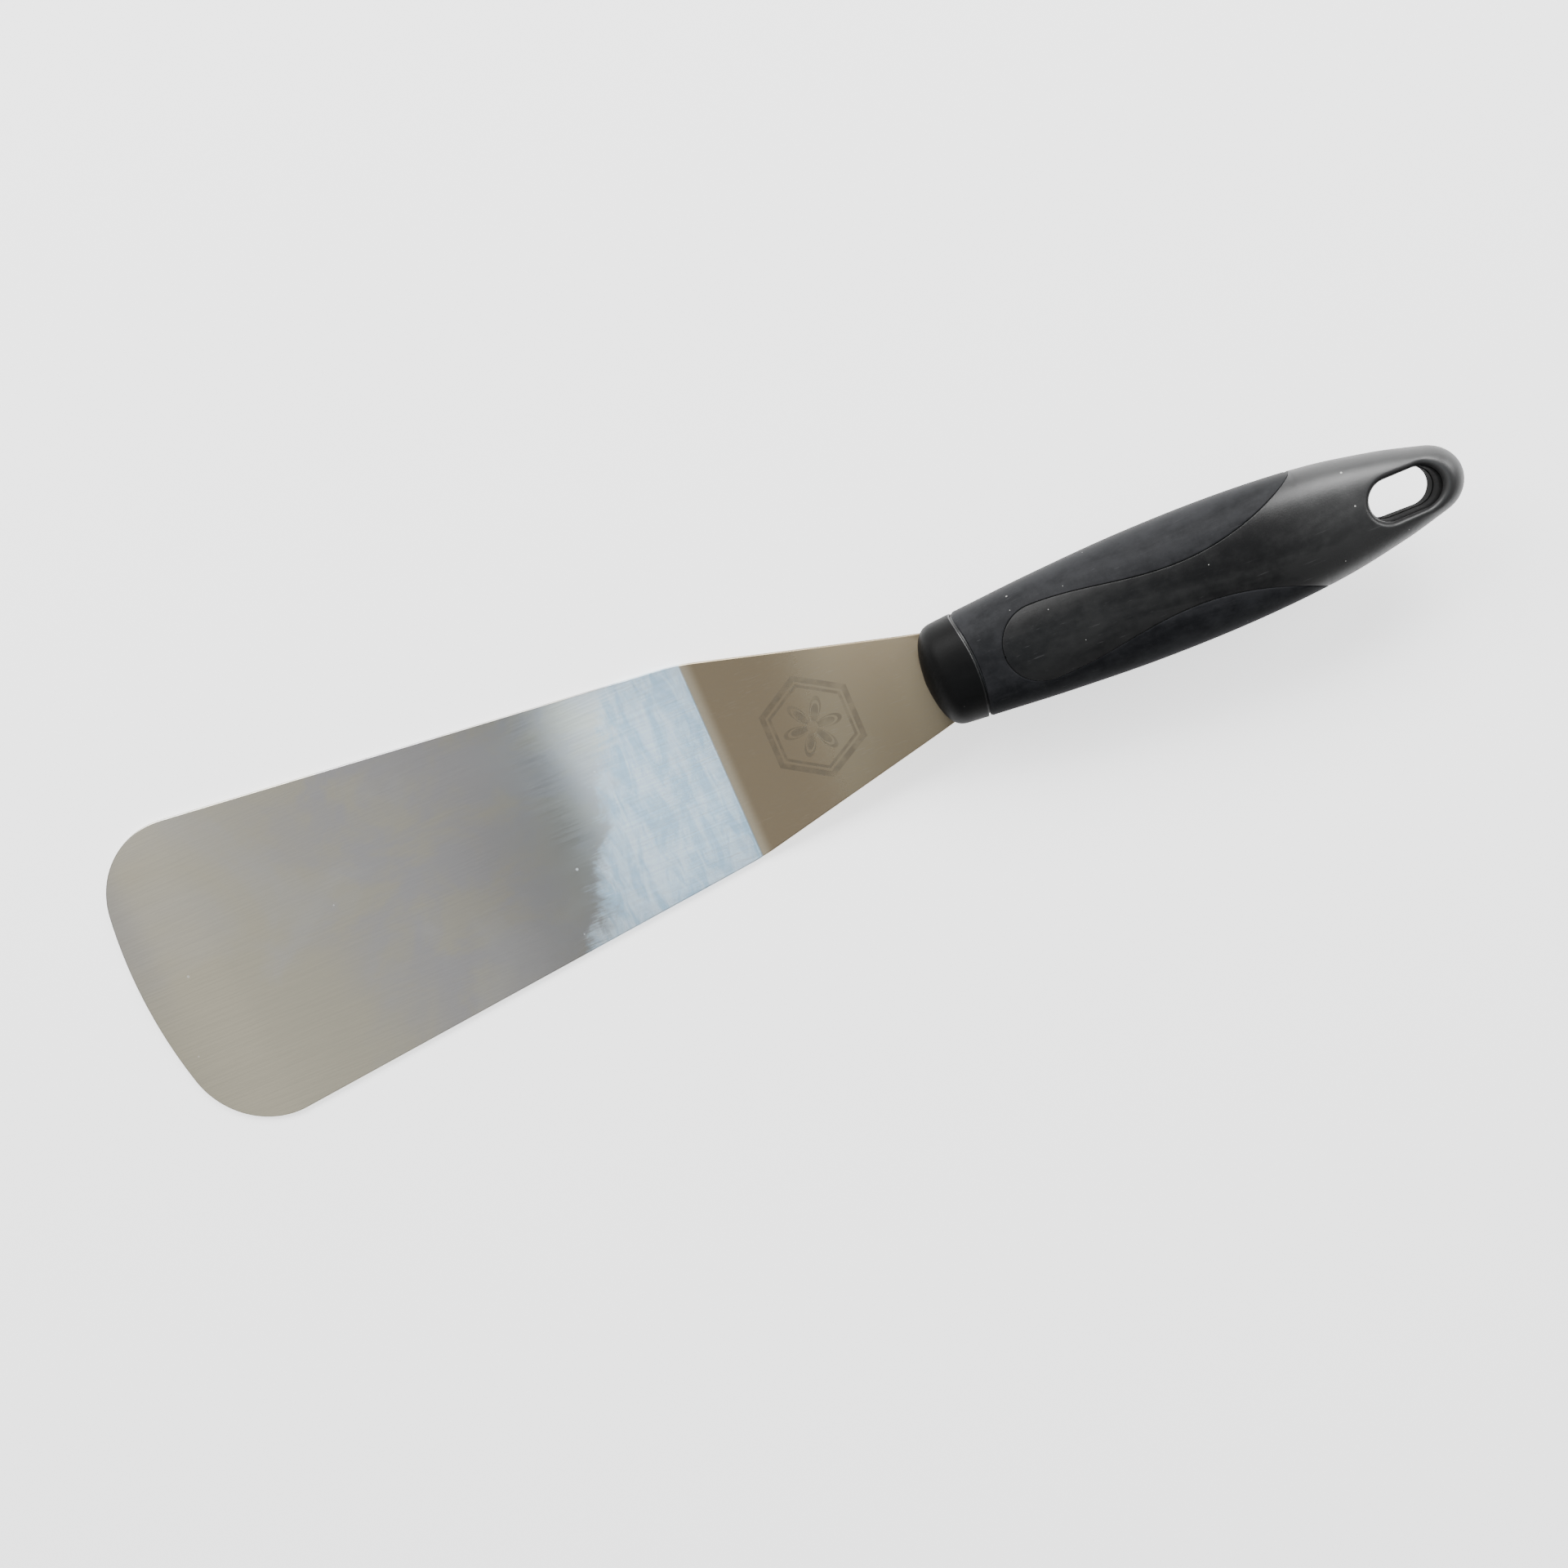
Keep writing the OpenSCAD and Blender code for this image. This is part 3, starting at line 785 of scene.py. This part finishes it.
def plastic_look(name):
    """Moulded plastic: a fine grain, wiped smudges that are lighter and duller, and a little dust."""
    facts = {"turn": 0.0, "rear": 0.0, **PLASTICS[name]}
    look = Look(name)
    smudges = look.noise(**SMUDGES, turn=facts["turn"])
    wiped = look.sum(look.times(smudges, 0.65), look.times(look.noise(**FINE_SMUDGES), 0.35))
    # Painted highlight: the rear end is made paler
    painted_rear_highlight = look.span(look.x, REAR_HIGHLIGHT_FROM, REAR_HIGHLIGHT_TO, 0.0, facts["rear"])
    color = look.mix(look.sum(look.span(wiped, 0.38, 0.64), painted_rear_highlight), facts["dark"], facts["light"])
    scuffs = look.span(look.noise(**SCUFFS), 0.66, 0.78, 0.0, 0.1)
    color = look.mix(look.times(scuffs, facts["dust"]), color, SCUFF_COLOR)
    dots = look.most(look.specks(6.0, 0.26, 0.4), look.specks(2.4, 0.13, 0.25))
    look.set("Base Color", look.mix(look.times(dots, facts["dust"]), color, DUST_COLOR))
    gloss = facts["gloss"]
    if isinstance(gloss, tuple):
        to_rear = look.span(look.x, GLOSS_FROM, GLOSS_TO, *gloss)
        gloss = look.times(to_rear, look.span(look.y, NEAR_SIDE, FAR_SIDE, facts["near_gloss"], 1.0))
    look.set("Specular IOR Level", gloss)
    grain = look.noise(facts["grain_scale"], 2.0)
    varied = look.span(wiped, 0.35, 0.65, facts["rough"] - 0.04, facts["rough"] + 0.05)
    look.set("Roughness", look.sum(varied, look.times(grain, 0.06)))
    grained = look.bump(grain, 0.35, facts["grain_height"])
    look.set("Normal", look.bump(smudges, 0.06, 0.6, grained))
    return look.mat


make_blade().data.materials.append(steel_look())
finishes = (
    (make_grip(), ("soft_touch",)),
    (make_core(), ("core_satin", "core_dull_shaded")),
    (make_collar(), ("collar_satin", "collar_lip_highlight")))
for piece, names in finishes:
    for name in names:
        piece.data.materials.append(plastic_look(name))


# ---- floor, light and camera, in metres ----
FLOOR_SIZE, FLOOR_AT = 6, (0.05, 0, -0.0003)
FLOOR_COLORS = (0.84, 0.84, 0.84), (0.87, 0.87, 0.87)
FLOOR_GLOW = 1.5
MIDDLE = (0.05, 0, 0)
# Name, place, aim, size, brightness of the lamp's face
LAMPS = (
    ("far_key", (0.50, 0.95, 0.75), (0.15, 0, 0), (0.7, 0.5), 18.0),
    ("far_fill", (-0.45, 1.0, 0.9), MIDDLE, (0.9, 0.6), 12.0),
    ("rear_key", (1.3, 0.35, 0.7), (0.2, 0, 0), (0.5, 0.5), 14.0),
    ("near_fill", (0.7, -1.2, 0.9), MIDDLE, (0.9, 0.6), 0.2))
# Panels that face down, which the sheet mirrors: name, X, size, brightness, colour
CEILING_Y, CEILING_Z = -0.16, 1.0
CEILINGS = (
    ("front_ceiling", -0.80, (0.6, 1.3), 0.64, (1.0, 0.95, 0.85)),
    ("middle_ceiling", -0.35, (0.28, 1.3), 0.42, (1.0, 0.97, 0.93)),
    ("crank_ceiling", -0.10, (0.13, 0.7), 3.3, (0.76, 0.90, 1.0)))
SKY_COLOR, SKY = (0.95, 0.97, 1.0, 1), 0.25
EYE, TARGET, CAMERA_UP = (0.1282, 0.0491, 0.3543), (0.0891, -0.0106, 0.001), (0.382, 0.903, -0.195)
SENSOR_W, LENS = 36, 35.2                 # both in millimetres


def make_floor():
    look = Look("pale_floor", Roughness=0.9)
    look.set("Base Color", look.mix(look.noise(0.004, 2.0), *FLOOR_COLORS))
    look.set("Emission Color", (1.0, 1.0, 1.0))
    look.set("Emission Strength", FLOOR_GLOW)
    bpy.ops.mesh.primitive_plane_add(size=FLOOR_SIZE, location=FLOOR_AT)
    floor = bpy.context.object
    floor.name = "floor"
    floor.data.materials.append(look.mat)


def add_light(name, at, aim, size, radiance, color=(1, 1, 1)):
    """A soft rectangular lamp. Its power is worked out from how bright its face is to look like."""
    data = bpy.data.lights.new(name, "AREA")
    data.shape = "RECTANGLE"
    data.size, data.size_y = size
    data.energy = radiance * math.pi * size[0] * size[1]
    data.color = color
    lamp = bpy.data.objects.new(name, data)
    bpy.context.scene.collection.objects.link(lamp)
    lamp.location = at
    lamp.rotation_mode = "QUATERNION"
    lamp.rotation_quaternion = (Vector(aim) - Vector(at)).to_track_quat("-Z", "Y")


def make_camera():
    data = bpy.data.cameras.new("camera")
    data.sensor_width, data.lens = SENSOR_W, LENS
    data.clip_start, data.clip_end = 0.01, 20
    camera = bpy.data.objects.new("camera", data)
    bpy.context.scene.collection.objects.link(camera)
    back = (Vector(EYE) - Vector(TARGET)).normalized()
    right = Vector(CAMERA_UP).cross(back).normalized()
    axes = Matrix((right, back.cross(right), back)).transposed()
    camera.matrix_world = Matrix.Translation(EYE) @ axes.to_4x4()
    bpy.context.scene.camera = camera


def make_sky():
    world = bpy.data.worlds.new("studio")
    bpy.context.scene.world = world
    world.use_nodes = True
    inputs = world.node_tree.nodes["Background"].inputs
    inputs["Color"].default_value = SKY_COLOR
    inputs["Strength"].default_value = SKY


make_floor()
for lamp_facts in LAMPS:
    add_light(*lamp_facts)
for name, x, size, radiance, color in CEILINGS:
    add_light(name, (x, CEILING_Y, CEILING_Z), (x, CEILING_Y, 0), size, radiance, color)
make_camera()
make_sky()
